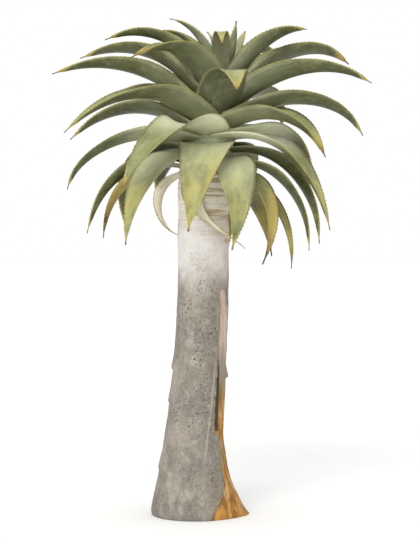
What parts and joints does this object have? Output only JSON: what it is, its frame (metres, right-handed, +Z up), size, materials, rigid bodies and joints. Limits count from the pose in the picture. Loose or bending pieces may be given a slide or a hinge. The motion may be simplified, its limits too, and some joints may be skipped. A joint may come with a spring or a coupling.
{
  "type": "tree aloe",
  "caption": "Young single-stemmed tree aloe: a pale smooth trunk with a swollen foot, topped by a full rosette of thick arching leaves.",
  "frame": {"origin": "on the flat cut under the trunk, at ground level, in the middle of the foot", "axes": "+Z up the trunk, -Y to the front as the plant is seen, +X to its right as it is seen"},
  "size_m": [1.0087, 0.7838, 1.5842],
  "materials": {
    "bark": "smooth pale bark, dull",
    "dry_leaf": "dry papery skin, dull",
    "withering_leaf": "fleshy skin drying to brown, dull",
    "drooping_leaf": "fleshy skin with a faint bloom, satin",
    "spreading_leaf": "fleshy skin with a faint bloom, satin",
    "arching_leaf": "fleshy skin with a faint bloom, satin",
    "nodding_leaf": "fleshy skin with a faint bloom, satin",
    "heart_leaf": "fleshy skin with a faint bloom, satin"
  },
  "bodies": {
    "root": {"arching_leaf_01": "arching_leaf", "arching_leaf_02": "arching_leaf", "arching_leaf_03": "arching_leaf", "arching_leaf_04": "arching_leaf", "arching_leaf_05": "arching_leaf", "arching_leaf_06": "arching_leaf", "arching_leaf_07": "arching_leaf", "arching_leaf_08": "arching_leaf", "arching_leaf_09": "arching_leaf", "arching_leaf_10": "arching_leaf", "drooping_leaf_01": "drooping_leaf", "drooping_leaf_02": "drooping_leaf", "drooping_leaf_03": "drooping_leaf", "drooping_leaf_04": "drooping_leaf", "drooping_leaf_05": "drooping_leaf", "drooping_leaf_06": "drooping_leaf", "drooping_leaf_07": "drooping_leaf", "drooping_leaf_08": "drooping_leaf", "drooping_leaf_09": "drooping_leaf", "drooping_leaf_10": "drooping_leaf", "dry_leaf_01": "dry_leaf", "dry_leaf_02": "dry_leaf", "heart_leaf_01": "heart_leaf", "heart_leaf_02": "heart_leaf", "heart_leaf_03": "heart_leaf", "heart_leaf_04": "heart_leaf", "heart_leaf_05": "heart_leaf", "nodding_leaf_01": "nodding_leaf", "nodding_leaf_02": "nodding_leaf", "spreading_leaf_01": "spreading_leaf", "spreading_leaf_02": "spreading_leaf", "spreading_leaf_03": "spreading_leaf", "spreading_leaf_04": "spreading_leaf", "spreading_leaf_05": "spreading_leaf", "spreading_leaf_06": "spreading_leaf", "spreading_leaf_07": "spreading_leaf", "spreading_leaf_08": "spreading_leaf", "spreading_leaf_09": "spreading_leaf", "spreading_leaf_10": "spreading_leaf", "trunk": "bark", "withering_leaf_01": "withering_leaf", "withering_leaf_02": "withering_leaf", "withering_leaf_03": "withering_leaf", "withering_leaf_04": "withering_leaf", "withering_leaf_05": "withering_leaf"}
  },
  "joints": []
}
